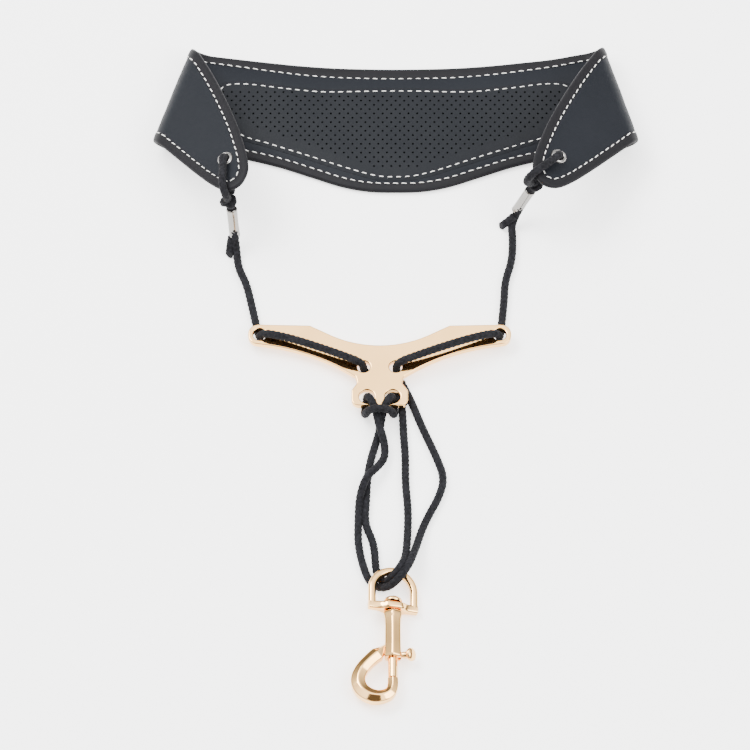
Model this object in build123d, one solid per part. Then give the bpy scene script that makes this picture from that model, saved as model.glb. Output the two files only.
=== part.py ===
"""Saxophone neck strap laid flat: padded leather collar with folded ends, black cord,
a metal spreader plate that slides to set the length, and a swivel bolt snap.

Frame: millimetres, +Z up from the table, +Y from the hook towards the collar, origin under
the middle of the whole strap.
"""
import os
from math import cos, hypot, pi, radians, sin, tan

from build123d import *

os.makedirs("parts", exist_ok=True)

# ---- driving dimensions -------------------------------------------------------------------
CORD_D = 3.2                # braided cord

PAD_MID_Z = 2.8             # middle of the collar pad above the table
PAD_HALF = 2.8              # half thickness at the bound edge
CORE_LOW, CORE_HIGH = -1.6, 1.4     # foam, measured from the pad's middle
LINING_HIGH = 2.4
PANEL_THICK = 0.6
BINDING_WIDTH = 4.5
BINDING_WALL = 1.0
STITCH_INSET = 3.5
STITCH_WIDTH = 0.8
STITCH_HEIGHT = 0.3
PANEL_STITCH_INSET = 1.4

# Outermost line of each fold and how long its tab is; both are drawn on the left.
FOLDS = {"left": ((-92.7, 168.5), (-109.4, 121.3), 0.97),
         "right": ((-94.5, 169.3), (-109.15, 123.0), 1.055)}
FOLD_RADIUS = 6.5           # of the pad's middle
TAB_RISE = 24.0             # degrees between the folded tab and the table

EYELET_U, EYELET_V = 37.5, 62.0     # eyelet centre on the tab, from the fold's end
EYELET_BORE_R, EYELET_BARREL_R, EYELET_FLANGE_R = 2.2, 2.5, 3.7
EYELET_LIP = 0.5

FERRULE_R, FERRULE_BORE_R = 2.5, 1.8
KNOT_R = 4.3

# Corners of each eyelet's loop: (down the tab, towards its tip, height above the pad's middle)
LOOPS = {
    "left": [(19.5, 2.0, 6.0), (6.0, 0.0, 7.0), (0, 0, 7.0), (0, 0, -7.0), (9.0, 1.0, -6.8)],
    "right": [(8.0, 17.4, -5.5), (9.0, 18.2, 4.2), (4.5, 6.0, 7.0), (0, 0, 7.0), (0, 0, -7.0)]}

PLATE_ORIGIN = (-7.2, 4.0)
PLATE_Z, PLATE_THICK = 4.0, 3.0
OUTER_HOLE = (54.0, 16.7)
OUTER_HOLE_R = 3.0
INNER_HOLE = (7.2, 0.0)
INNER_HOLE_R = 2.95
LOWER_HOLE = (5.8, -15.5)
LOWER_HOLE_R = 3.5
PLATE_EDGE_ROUND = 0.55
NECK_BOTTOM = -20.2
FOOT_HALF = 12.7
OUTER_END_ROUND, FOOT_ROUND, WAIST_ROUND, CORNER_ROUND = 4.6, 3.2, 6.0, 1.5

SNAP_X, SNAP_Z = -1.3, 4.9  # axis of the swivel and barrel
EYE_TOP = -99.4             # outer top of the D-shaped eye
EYE_BAR_R, EYE_ARC_R = 1.8, 9.7
EYE_BASE_TOP, EYE_BASE_BOTTOM = -117.6, -121.7
EYE_ROLL = 15.0             # degrees, left side raised by the cords under it
EYE_BOSS_R = 4.2
SHANK_R, SHANK_BORE_R = 1.9, 1.97
RIVET_HEAD_R = 3.7
BARREL_TOP, BARREL_BOTTOM = -122.3, -145.8
BARREL_R, BARREL_BORE_R = 3.9, 2.33
BOLT_R = 2.25
RIVET_SEAT, RIVET_HEAD_TALL = -117.3, 2.8
KNOB_START, KNOB_THICK = 5.0, 3.4
EYE_BASE_ROUND = 0.9
BOLT_TOP, BOLT_BOTTOM = -140.0, -156.1
BOLT_TRAVEL = 9.0
KNOB_Y, KNOB_R = -144.0, 2.7
STEM_R, STEM_SUNK = 1.2, 0.8
SPRING_TOP = -126.4
SPRING_WIRE_R = 0.3
SPRING_R = 1.75
SPRING_TURNS = 7
HOOK_BAR_R = 2.6


def save(shape, node):
    """Write one sub-part to its own STEP file."""
    shape.label = node
    export_step(shape, f"parts/{node}.step")
    print(f"{node}: {len(shape.solids())} solid(s), {shape.volume:.1f} mm3")


# ---- collar pad ---------------------------------------------------------------------------
# The pad is drawn flat, and then its ends are wrapped upward round a straight fold line.
REACH = FOLD_RADIUS + PAD_HALF
WRAP = pi - radians(TAB_RISE)
BEND_LENGTH = FOLD_RADIUS * WRAP
BEND_STEPS = 6

# Upper and lower edge points of the flat band, from the middle out to the bend.
BAND_TOP = [(0, 160.6), (-14, 160.8), (-28, 161.3), (-43, 162.4), (-57, 163.8), (-71, 165.3)]
BAND_LOW = [(0, 97.8), (-12, 98.2), (-24, 100.6), (-38, 105.6), (-54, 111.3), (-74, 116.3)]
# Upper and lower edge of the tab: distance past the bend, then places along the fold.
TAB_EDGES = [(12, 17.5, 63.2), (24, 29.5, 70.0), (35, 41.5, 75.6), (42.5, 51.5, 78.0),
             (47.3, 58.5, 77.2), (50.0, 63.5, 74.8), (51.2, 67.0, 71.4)]
# Outline of the perforated panel's left half, from the middle of its top edge.
PANEL_HALF = [(0, 151.2), (-33, 150.7), (-50, 152.4), (-68, 154.8), (-78, 153.6), (-81.5, 148.5),
             (-78.5, 137.5), (-72.5, 126.2), (-57, 120.0), (-40, 114.0), (-22, 107.4), (-9, 103.6),
             (0, 103.0)]
BEND_TOP_START, BEND_TOP_SLOPE, BEND_TOP_END = -1.5, 0.17, 6.8
BEND_LOW_START, BEND_LOW_SLOPE, BEND_LOW_END = 48.4, 0.19, 56.3


def bend_edge(step, start, slope, end):
    """Place along the fold of an edge at one step of the bend, and the edge's slope there."""
    beyond = BEND_LENGTH * step / BEND_STEPS
    curve = (end - start - slope * BEND_LENGTH) / BEND_LENGTH ** 2
    return beyond, start + slope * beyond + curve * beyond ** 2, slope + 2 * curve * beyond


def inset_edge(points, index, inset):
    """Move a point of the outline inward, square to the outline, by the inset."""
    before, after = points[max(index - 1, 0)], points[min(index + 1, len(points) - 1)]
    run = hypot(after[0] - before[0], after[1] - before[1])
    return (points[index][0] - (after[1] - before[1]) / run * inset,
            points[index][1] + (after[0] - before[0]) / run * inset)


class PadHalf:
    """One half of the collar pad, drawn on the left."""

    def __init__(self, top, bottom, stretch):
        run = hypot(bottom[0] - top[0], bottom[1] - top[1])
        self.along = ((bottom[0] - top[0]) / run, (bottom[1] - top[1]) / run)
        self.inward = (-self.along[1], self.along[0])
        self.start = (top[0] + REACH * self.inward[0], top[1] + REACH * self.inward[1])
        self.stretch = stretch

    def flat_point(self, beyond, along):
        """Point of the flat pattern, by distance beyond the bend's start and along the fold."""
        return (self.start[0] - self.inward[0] * beyond + self.along[0] * along,
                self.start[1] - self.inward[1] * beyond + self.along[1] * along)

    def place(self, point, height):
        """Where a point of the flat pattern lies once the tab is folded."""
        dx, dy = point[0] - self.start[0], point[1] - self.start[1]
        beyond = -(dx * self.inward[0] + dy * self.inward[1])
        along = dx * self.along[0] + dy * self.along[1]
        if beyond <= 0:
            return Vector(point[0], point[1], PAD_MID_Z + height)
        angle = min(beyond / FOLD_RADIUS, WRAP)
        past = max(beyond - BEND_LENGTH, 0)
        radius = FOLD_RADIUS - height
        inward = -radius * sin(angle) - past * cos(angle)
        up = PAD_MID_Z + FOLD_RADIUS - radius * cos(angle) + past * sin(angle)
        return Vector(self.start[0] + self.along[0] * along + self.inward[0] * inward,
                      self.start[1] + self.along[1] * along + self.inward[1] * inward, up)

    def outline(self, inset):
        """Upper and lower edge points, moved inward by the inset."""
        top, low = list(BAND_TOP), list(BAND_LOW)
        on_top, on_low = {}, {}
        for step in range(BEND_STEPS + 1):
            beyond, along, slope = bend_edge(step, BEND_TOP_START, BEND_TOP_SLOPE, BEND_TOP_END)
            on_top[len(top)] = self.flat_point(beyond, along + inset * hypot(1, slope))
            top.append(self.flat_point(beyond, along))
            beyond, along, slope = bend_edge(step, BEND_LOW_START, BEND_LOW_SLOPE, BEND_LOW_END)
            on_low[len(low)] = self.flat_point(beyond, along - inset * hypot(1, slope))
            low.append(self.flat_point(beyond, along))
        for past, upper, lower in TAB_EDGES:
            top.append(self.flat_point(BEND_LENGTH + past * self.stretch, upper))
            low.append(self.flat_point(BEND_LENGTH + past * self.stretch, lower))
        ring = top + low[::-1]
        last = len(ring) - 1
        moved_top = [on_top.get(index) or inset_edge(ring, index, inset)
                     for index in range(len(top))]
        moved_low = [on_low.get(index) or inset_edge(ring, last - index, inset)
                     for index in range(len(low))]
        moved_top[0] = (0, top[0][1] - inset)
        moved_low[0] = (0, low[0][1] + inset)
        return moved_top, moved_low

    def layer(self, inset, low, high):
        """One layer of the pad, from its middle to the tab's tip."""
        sections = []
        for upper, lower in zip(*self.outline(inset)):
            sections.append(polygon([self.place(upper, low), self.place(upper, high),
                                     self.place(lower, high), self.place(lower, low)]))
        return Solid.make_loft(sections, ruled=True)

    def edge_strip(self, profile):
        """A strip round the edge; profile is a closed list of (inset, height) corners."""
        rings = {}
        for inset, _ in profile:
            top, low = self.outline(inset)
            rings[inset] = top + low[::-1]
        sections = []
        for index in range(len(rings[profile[0][0]])):
            sections.append(polygon([self.place(rings[inset][index], height)
                                     for inset, height in profile]))
        return Solid.make_loft(sections, ruled=True)


HALVES = {side: PadHalf(*fold) for side, fold in FOLDS.items()}


def polygon(points):
    return Wire.make_polygon(points, close=True)


def whole(make):
    """Both halves of a strip or layer as one solid."""
    left, right = make(HALVES["left"]), make(HALVES["right"])
    return left.fuse(right.mirror(Plane.YZ)).clean()


def pad_layer(inset, low, high):
    return whole(lambda half: half.layer(inset, low, high))


def edge_strip(profile):
    return whole(lambda half: half.edge_strip(profile))


def tab_plane(side):
    """Plane at the eyelet's centre in the middle of the pad, facing out of the cover."""
    half = HALVES[side]
    centre = half.flat_point(BEND_LENGTH + EYELET_U * half.stretch, EYELET_V)
    flip = -1 if side == "right" else 1

    def turned(vector):
        return Vector(flip * vector.X, vector.Y, vector.Z)

    origin = half.place(centre, 0)
    outward = half.place(centre, -1) - origin
    return Plane(origin=turned(origin), x_dir=turned(Vector(*half.along, 0)),
                 z_dir=turned(outward))


PLANES = {side: tab_plane(side) for side in HALVES}


def with_eyelet_holes(layer):
    for plane in PLANES.values():
        layer = layer.cut(Solid.make_cylinder(EYELET_BARREL_R, 20, plane.offset(-10)))
    return layer


def ring_solid(plane, bore, radius, low, high):
    """A flat ring on a plane, between two heights."""
    outer = Solid.make_cylinder(radius, high - low, plane.offset(low))
    return outer.cut(Solid.make_cylinder(bore, high - low + 2, plane.offset(low - 1)))


def make_collar():
    save(with_eyelet_holes(pad_layer(BINDING_WIDTH, -PAD_HALF, CORE_LOW)), "outer_cover")
    save(with_eyelet_holes(pad_layer(BINDING_WALL, CORE_LOW, CORE_HIGH)), "foam_core")
    save(with_eyelet_holes(pad_layer(BINDING_WIDTH, CORE_HIGH, LINING_HIGH)), "lining")
    channel = [(0, -PAD_HALF), (0, PAD_HALF), (BINDING_WIDTH, PAD_HALF),
               (BINDING_WIDTH, CORE_HIGH), (BINDING_WALL, CORE_HIGH),
               (BINDING_WALL, CORE_LOW), (BINDING_WIDTH, CORE_LOW),
               (BINDING_WIDTH, -PAD_HALF)]
    save(edge_strip(channel), "edge_binding")
    thread = [(STITCH_INSET, PAD_HALF), (STITCH_INSET, PAD_HALF + STITCH_HEIGHT),
              (STITCH_INSET + STITCH_WIDTH, PAD_HALF + STITCH_HEIGHT),
              (STITCH_INSET + STITCH_WIDTH, PAD_HALF)]
    save(edge_strip(thread), "binding_stitching")

    panel = Polygon(*PANEL_HALF, *[(-x, y) for x, y in PANEL_HALF[-2::-1]], align=None)
    save(extrude(Pos(0, 0, PAD_MID_Z + LINING_HIGH) * panel, PANEL_THICK), "perforated_panel")
    rim = offset(panel, -PANEL_STITCH_INSET) - offset(panel, -PANEL_STITCH_INSET - STITCH_WIDTH)
    top = PAD_MID_Z + LINING_HIGH + PANEL_THICK
    save(extrude(Pos(0, 0, top) * rim, STITCH_HEIGHT), "panel_stitching")


def make_eyelets():
    for side, plane in PLANES.items():
        barrel = ring_solid(plane, EYELET_BORE_R, EYELET_BARREL_R, -LINING_HIGH - EYELET_LIP,
                            PAD_HALF + EYELET_LIP)
        flange = ring_solid(plane, EYELET_BORE_R, EYELET_FLANGE_R, PAD_HALF,
                            PAD_HALF + EYELET_LIP)
        save(barrel.fuse(flange).clean(), f"{side}_eyelet")
        washer = ring_solid(plane, EYELET_BARREL_R, EYELET_FLANGE_R, -LINING_HIGH - EYELET_LIP,
                            -LINING_HIGH)
        save(washer, f"{side}_washer")


# ---- cords --------------------------------------------------------------------------------
def cord(node, points, diameter=CORD_D):
    """Straight runs joined by arcs as large as the runs allow."""
    points = [Vector(*point) for point in points]
    runs = [(after - before).length for before, after in zip(points, points[1:])]
    radii = []
    for index in range(1, len(points) - 1):
        turn = (points[index] - points[index - 1]).get_angle(points[index + 1] - points[index])
        shorter = min(runs[index - 1], runs[index])
        radii.append(0.45 * shorter / tan(radians(turn) / 2))
    path = FilletPolyline(*points, radius=radii)
    section = Plane(origin=path @ 0, z_dir=path % 0) * Circle(diameter / 2)
    tube = sweep(section, path=path)
    expected = pi * diameter ** 2 / 4 * path.length
    print(f"{node}: length {path.length:.1f}, volume ratio {tube.volume / expected:.3f},",
          f"z {tube.bounding_box().min.Z:.2f}, radii", [round(radius, 1) for radius in radii])
    save(tube, node)


FERRULES = {"left": ((-73.9, 78.3, 20.5), (-72.5, 71.9, 7.0)),
            "right": ((60.8, 87.9, 20.4), (54.5, 84.9, 7.0))}
KNOTS = {"left": (-75.2, 80.0, 24.6), "right": (62.7, 89.4, 24.6)}

# From the knot through the ferrule and along the table to the plate's outer hole.
UPPER = {
    "left": [(-74.2, 79.6, 23.2), (-71.9, 69.2, 1.7), (-70.9, 58.0, 1.7), (-67.4, 50.5, 1.7),
             (-65.2, 40.5, 1.7), (-62.8, 28.5, 1.7)],
    "right": [(62.1, 88.5, 23.1), (52.0, 83.7, 1.7), (52.9, 73.0, 1.7), (52.4, 61.5, 1.7),
              (49.2, 51.0, 1.7), (48.9, 40.5, 1.7), (47.7, 28.5, 1.7)]}
# Up through the outer hole, over the plate's arm, down through the inner hole and out behind.
OVER_PLATE = {
    "left": [(-62.8, 28.5, 1.7), (-61.2, 20.5, 1.7), (-60.6, 20.2, 9.6), (-49.0, 17.6, 12.2),
             (-35.5, 12.6, 13.0), (-23.0, 7.4, 12.2), (-14.7, 4.2, 9.6), (-14.3, 3.8, 1.7),
             (-8.65, -0.7, 1.7)],
    "right": [(47.7, 28.5, 1.7), (46.9, 20.5, 1.7), (46.2, 20.2, 9.6), (35.0, 16.6, 12.0),
              (22.0, 11.8, 12.8), (8.8, 7.0, 11.9), (0.6, 4.4, 9.6), (0.1, 3.8, 1.7),
              (3.45, -3.35, 1.7)]}
# From behind the plate down to the eye.
DOWN = {
    "left": [(-8.65, -0.7, 1.7), (-3.0, -5.2, 1.7), (2.3, -9.7, 1.7), (3.2, -18.8, 1.7),
             (3.5, -28.5, 1.7), (4.4, -40.0, 1.7), (4.3, -53.5, 1.7), (5.6, -67.0, 1.7),
             (5.4, -79.0, 1.7), (5.0, -86.0, 3.6)],
    "right": [(3.45, -3.35, 1.7), (6.8, -10.5, 1.7), (11.7, -24.5, 1.7), (18.3, -40.0, 1.7),
              (21.9, -51.0, 1.7), (19.6, -60.5, 1.7), (14.6, -70.6, 1.7), (11.4, -78.6, 1.9),
              (9.6, -86.4, 4.1)]}
# Over the top of the eye, through it and out under its left side.
IN_EYE = {
    "left": [(5.0, -86.0, 3.6), (4.6, -93.0, 5.5), (3.1, -99.4, 8.8), (0.2, -103.8, 8.5),
             (-3.4, -105.7, 4.6), (-6.9, -104.2, 1.9), (-9.0, -99.0, 1.7), (-9.3, -92.0, 1.7)],
    "right": [(9.6, -86.4, 4.1), (7.8, -94.2, 6.3), (6.4, -101.6, 8.0), (1.6, -107.6, 7.6),
              (-4.0, -109.3, 4.4), (-9.4, -107.2, 1.9), (-13.4, -101.6, 1.7),
              (-15.2, -93.8, 1.7)]}
# Back up to the hitch on the plate's lower holes.
BACK = {
    "left": [(-9.3, -92.0, 1.7), (-9.6, -85.0, 1.7), (-14.0, -74.5, 1.7), (-13.2, -62.5, 1.7),
             (-12.7, -50.0, 1.7), (-10.9, -40.0, 1.7), (-8.9, -33.0, 1.7), (-7.2, -26.5, 2.2),
             (-6.2, -21.85, 5.6)],
    "right": [(-15.2, -93.8, 1.7), (-17.0, -86.0, 1.7), (-16.8, -73.0, 1.7), (-16.4, -62.0, 3.2),
              (-13.4, -52.8, 6.4), (-8.0, -47.0, 5.0), (-4.6, -40.5, 2.6), (-5.2, -33.0, 4.6),
              (-7.4, -26.6, 6.0), (-8.45, -21.9, 7.8)]}
# One stretch of cord, hitched round itself over the plate's lower edge.
HITCH = [(-8.45, -21.9, 7.8), (-9.5, -17.2, 9.6), (-12.7, -12.2, 9.6), (-13.2, -11.4, 1.7),
         (-14.3, -19.4, 1.9), (-11.9, -20.6, 11.9), (-2.7, -20.6, 11.9), (-0.3, -19.4, 1.9),
         (-1.3, -11.4, 1.7), (-1.8, -12.2, 9.6), (-5.2, -17.2, 9.0), (-6.2, -21.85, 5.6)]
TAILS = {"left": [(-73.9, 71.6, 7.0), (-74.6, 68.4, 3.2), (-75.8, 64.4, 1.9)],
         "right": [(53.4, 82.4, 7.0), (50.6, 81.6, 3.4), (46.6, 80.6, 1.9)]}


def eyelet_loop(side):
    """From the knot over the tab's edge, through the eyelet and back under the tab."""
    tipward = 1 if side == "left" else -1
    corners = [PLANES[side].from_local_coords(Vector(down, tipward * towards_tip, height))
               for down, towards_tip, height in LOOPS[side]]
    knot = Vector(*KNOTS[side])
    start = knot + (corners[0] - knot).normalized() * (KNOT_R - 0.5)
    end = knot + (corners[-1] - knot).normalized() * (KNOT_R - 0.5)
    return [tuple(corner) for corner in (start, *corners, end)]


def make_cords():
    for side in ("left", "right"):
        knot = Sphere(KNOT_R)
        knot = Pos(*KNOTS[side]) * scale(knot, by=(1, 0.85, 1))
        save(knot, f"{side}_knot")
        top, bottom = Vector(*FERRULES[side][0]), Vector(*FERRULES[side][1])
        plane = Plane(origin=top, z_dir=bottom - top)
        save(ring_solid(plane, FERRULE_BORE_R, FERRULE_R, 0, (bottom - top).length),
             f"{side}_ferrule")
        cord(f"{side}_eyelet_loop", eyelet_loop(side))
        cord(f"{side}_upper_cord", UPPER[side])
        cord(f"{side}_cord_tail", TAILS[side])
        cord(f"{side}_plate_cord", OVER_PLATE[side])
        cord(f"{side}_down_strand", DOWN[side])
        cord(f"{side}_eye_bight", IN_EYE[side])
        cord(f"{side}_return_strand", BACK[side])
    cord("plate_hitch", HITCH)


# ---- spreader plate -----------------------------------------------------------------------
def make_plate():
    waist = (22.9, 16.9)
    with BuildSketch() as drawing:
        with BuildLine():
            for x in (-1, 1):
                Polyline((x * waist[0], waist[1]), (x * 31.5, 21.4), (x * 59.2, 22.0),
                         (x * 59.2, 12.0))
                ThreePointArc((x * 59.2, 12.0), (x * 33.0, 6.5), (x * 10.9, -5.2))
                Polyline((x * 10.9, -5.2), (x * 10.2, -8.6), (x * FOOT_HALF, -12.2),
                         (x * FOOT_HALF, NECK_BOTTOM), (0, NECK_BOTTOM))
            ThreePointArc((-waist[0], waist[1]), (0, 11.1), waist)
        make_face()
    sketch = drawing.sketch

    def rounded(test, radius):
        return fillet([vertex for vertex in sketch.vertices() if test(vertex)], radius)

    sketch = rounded(lambda vertex: abs(vertex.X) > 59, OUTER_END_ROUND)
    sketch = rounded(lambda vertex: vertex.Y < NECK_BOTTOM + 0.1, FOOT_ROUND)
    sketch = rounded(lambda vertex: 9 < abs(vertex.X) < 35 and -13 < vertex.Y < 16
                     or abs(vertex.Y - 21.4) < 0.1, CORNER_ROUND)
    sketch = rounded(lambda vertex: abs(abs(vertex.X) - waist[0]) < 0.1, WAIST_ROUND)
    for hole, radius in ((OUTER_HOLE, OUTER_HOLE_R), (INNER_HOLE, INNER_HOLE_R),
                         (LOWER_HOLE, LOWER_HOLE_R)):
        for x in (-hole[0], hole[0]):
            sketch = sketch - Pos(x, hole[1]) * Circle(radius)
    plate = extrude(sketch, PLATE_THICK)
    for side in (-1, 0):
        plate = fillet(plate.faces().sort_by(Axis.Z)[side].edges(), PLATE_EDGE_ROUND)
    save(Pos(*PLATE_ORIGIN, PLATE_Z) * plate, "spreader_plate")


# ---- swivel bolt snap ---------------------------------------------------------------------
def along_y(radius, start, end):
    """A round bar on the swivel's axis, between two places along Y."""
    return Solid.make_cylinder(radius, abs(end - start),
                               Plane(origin=(SNAP_X, min(start, end), SNAP_Z), z_dir=(0, 1, 0)))


def bar(points, radii, radius):
    """A round bar bent through the points."""
    path = FilletPolyline(*[Vector(*point) for point in points], radius=radii)
    return sweep(Plane(origin=path @ 0, z_dir=path % 0) * Circle(radius), path=path)


def make_eye():
    arc_y = EYE_TOP - EYE_BAR_R - EYE_ARC_R
    base_y = (EYE_BASE_TOP + EYE_BASE_BOTTOM) / 2
    base_half = (EYE_BASE_TOP - EYE_BASE_BOTTOM) / 2
    with BuildLine() as line:
        Line((-EYE_ARC_R, base_y), (-EYE_ARC_R, arc_y))
        ThreePointArc((-EYE_ARC_R, arc_y), (0, arc_y + EYE_ARC_R), (EYE_ARC_R, arc_y))
        Line((EYE_ARC_R, arc_y), (EYE_ARC_R, base_y))
    path = line.wires()[0]
    bow = sweep(Plane(origin=path @ 0, z_dir=path % 0) * Circle(EYE_BAR_R), path=path)
    base = Box(2 * (EYE_ARC_R + EYE_BAR_R), 2 * base_half, 2 * EYE_BAR_R)
    base = fillet(base.edges(), EYE_BASE_ROUND)
    boss = Solid.make_cylinder(EYE_BOSS_R, 2 * base_half,
                               Plane(origin=(0, EYE_BASE_BOTTOM, 0), z_dir=(0, 1, 0)))
    boss = fillet(boss.edges(), EYE_BASE_ROUND)
    eye = bow + Pos(0, base_y, 0) * base + boss
    eye -= Solid.make_cylinder(SHANK_BORE_R, 20,
                               Plane(origin=(0, base_y - 10, 0), z_dir=(0, 1, 0)))
    eye = Rot(0, EYE_ROLL, 0) * eye
    save(Pos(SNAP_X, 0, SNAP_Z) * eye, "swivel_eye")


def make_snap():
    barrel = along_y(BARREL_R, BARREL_TOP, BARREL_BOTTOM)
    barrel = fillet(barrel.edges().sort_by(Axis.Y)[-1:], 0.8)
    hook = bar([(SNAP_X - 1.6, -136.8, SNAP_Z), (-10.3, -145.2, SNAP_Z), (-17.4, -152.3, SNAP_Z),
                (-17.9, -159.9, SNAP_Z), (-10.5, -166.9, SNAP_Z), (-1.4, -164.6, SNAP_Z),
                (SNAP_X, -156.4, SNAP_Z)], [14.0, 8.0, 8.4, 7.0, 6.8], HOOK_BAR_R)
    body = barrel + hook
    body -= along_y(BARREL_BORE_R, BARREL_BOTTOM - 3, SPRING_TOP)
    body -= along_y(SHANK_R, BARREL_TOP - 3.2, BARREL_TOP + 1)
    slot_end = KNOB_Y + BOLT_TRAVEL + STEM_R + 0.3
    slot_length = slot_end - BARREL_BOTTOM + 1
    slot = Box(BARREL_R + 2, slot_length, 2 * STEM_R + 0.5,
               align=(Align.MIN, Align.MIN, Align.CENTER))
    body -= Pos(SNAP_X, BARREL_BOTTOM - 1, SNAP_Z) * slot
    save(body, "snap_body")

    shank = along_y(SHANK_R, BARREL_TOP - 3.2, RIVET_SEAT)
    head = along_y(RIVET_HEAD_R, RIVET_SEAT, RIVET_SEAT + RIVET_HEAD_TALL)
    head = fillet(head.edges().sort_by(Axis.Y)[-1:], 1.9)
    save(shank + head, "swivel_rivet")

    bolt = along_y(BOLT_R, BOLT_TOP, BOLT_BOTTOM)
    save(chamfer(bolt.edges().sort_by(Axis.Y)[:1], 0.4), "snap_bolt")
    stem_start = SNAP_X + BOLT_R - STEM_SUNK
    stem_plane = Plane(origin=(stem_start, KNOB_Y, SNAP_Z), z_dir=(1, 0, 0))
    stem = Solid.make_cylinder(STEM_R, KNOB_START - stem_start, stem_plane)
    disc_plane = Plane(origin=(KNOB_START, KNOB_Y, SNAP_Z), z_dir=(1, 0, 0))
    disc = Solid.make_cylinder(KNOB_R, KNOB_THICK, disc_plane)
    disc = fillet(disc.edges(), 1.0)
    save(stem + disc, "thumb_knob")

    height = SPRING_TOP - BOLT_TOP - 2 * SPRING_WIRE_R - 0.2
    coil = Helix(pitch=height / SPRING_TURNS, height=height, radius=SPRING_R)
    wire = sweep(Plane(origin=coil @ 0, z_dir=coil % 0) * Circle(SPRING_WIRE_R), path=coil)
    start = Plane(origin=(SNAP_X, BOLT_TOP + SPRING_WIRE_R + 0.1, SNAP_Z), z_dir=(0, 1, 0))
    save(start.location * wire, "bolt_spring")


make_collar()
make_eyelets()
make_plate()
make_eye()
make_snap()
make_cords()
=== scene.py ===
"""Saxophone neck strap laid flat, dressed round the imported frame. Everything is in metres."""
from math import ceil, cos, floor, hypot, pi, radians, sin, tau

import bmesh
import bpy
import numpy as np
from mathutils import Matrix, Vector
from mathutils.geometry import delaunay_2d_cdt


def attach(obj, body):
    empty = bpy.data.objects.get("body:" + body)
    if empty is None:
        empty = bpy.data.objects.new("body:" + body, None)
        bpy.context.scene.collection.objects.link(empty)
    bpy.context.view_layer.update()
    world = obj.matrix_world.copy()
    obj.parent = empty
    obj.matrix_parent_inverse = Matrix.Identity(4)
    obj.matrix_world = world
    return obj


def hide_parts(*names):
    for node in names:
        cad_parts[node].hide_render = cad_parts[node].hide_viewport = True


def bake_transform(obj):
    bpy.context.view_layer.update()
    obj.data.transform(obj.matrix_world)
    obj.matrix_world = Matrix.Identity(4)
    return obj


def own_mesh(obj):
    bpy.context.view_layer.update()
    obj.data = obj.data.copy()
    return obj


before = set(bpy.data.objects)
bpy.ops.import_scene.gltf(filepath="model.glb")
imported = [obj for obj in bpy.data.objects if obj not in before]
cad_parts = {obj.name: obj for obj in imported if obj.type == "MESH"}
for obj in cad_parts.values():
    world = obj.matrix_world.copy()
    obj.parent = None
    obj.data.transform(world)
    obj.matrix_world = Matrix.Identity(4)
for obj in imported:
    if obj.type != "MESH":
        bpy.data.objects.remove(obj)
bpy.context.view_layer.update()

MM = 0.001
SIDES = ("left", "right")

# ---- camera, light and floor ----
CAMERA_ELEVATION = radians(60)
CAMERA_DISTANCE = 13.0
VIEW_WIDTH = 0.3375
AIM = Vector((-0.0093, 0.0035, 0))
SENSOR = 36.0
CLIP_START, CLIP_END = 0.1, 80
STUDIO_STRENGTH = 2.1
# Share of the studio's light, by the upward part of the direction that it comes from.
WALLS = [(0.22, (0.16, 0.15, 0.14)), (0.62, (1, 1, 1)), (0.85, (1.85, 1.85, 1.85))]
# The same for a dark card, by the cosine of the angle from the card's direction.
CARD_DIRECTION = (-0.1, -0.56, 0.82)
CARD = [(0.925, (1, 1, 1)), (0.94, (0.05, 0.045, 0.04))]
KEY_POWER, FILL_POWER = 30, 14
FLOOR_SIZE, FLOOR_DROP, FLOOR_GLOW = 8, 0.0002, 1.6


def add_object(name, data):
    made = bpy.data.objects.new(name, data)
    bpy.context.scene.collection.objects.link(made)
    return made


def make_camera():
    data = bpy.data.cameras.new("camera")
    data.sensor_width = SENSOR
    data.lens = SENSOR * CAMERA_DISTANCE / VIEW_WIDTH
    data.clip_start, data.clip_end = CLIP_START, CLIP_END
    camera = add_object("camera", data)
    back = Vector((0, -cos(CAMERA_ELEVATION), sin(CAMERA_ELEVATION)))
    camera.location = AIM + back * CAMERA_DISTANCE
    camera.rotation_euler = back.to_track_quat("Z", "Y").to_euler()
    bpy.context.scene.camera = camera


def area_light(name, place, size, power, aim=(0, 0, 0)):
    data = bpy.data.lights.new(name, "AREA")
    data.shape = "RECTANGLE"
    data.size, data.size_y = size
    data.energy = power
    lamp = add_object(name, data)
    lamp.location = place
    lamp.rotation_euler = (Vector(place) - Vector(aim)).to_track_quat("Z", "Y").to_euler()


def set_inputs(node, values):
    for name, value in values.items():
        node.inputs[name].default_value = value


def colour_ramp(tree, value, stops):
    """The colour that a value picks between (place, colour) stops."""
    made = tree.nodes.new("ShaderNodeValToRGB")
    band = made.color_ramp
    while len(band.elements) < len(stops):
        band.elements.new(0.5)
    for element, (place, colour) in zip(band.elements, stops):
        element.position = place
        element.color = (*colour, 1)
    tree.links.new(value, made.inputs["Fac"])
    return made.outputs["Color"]


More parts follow.
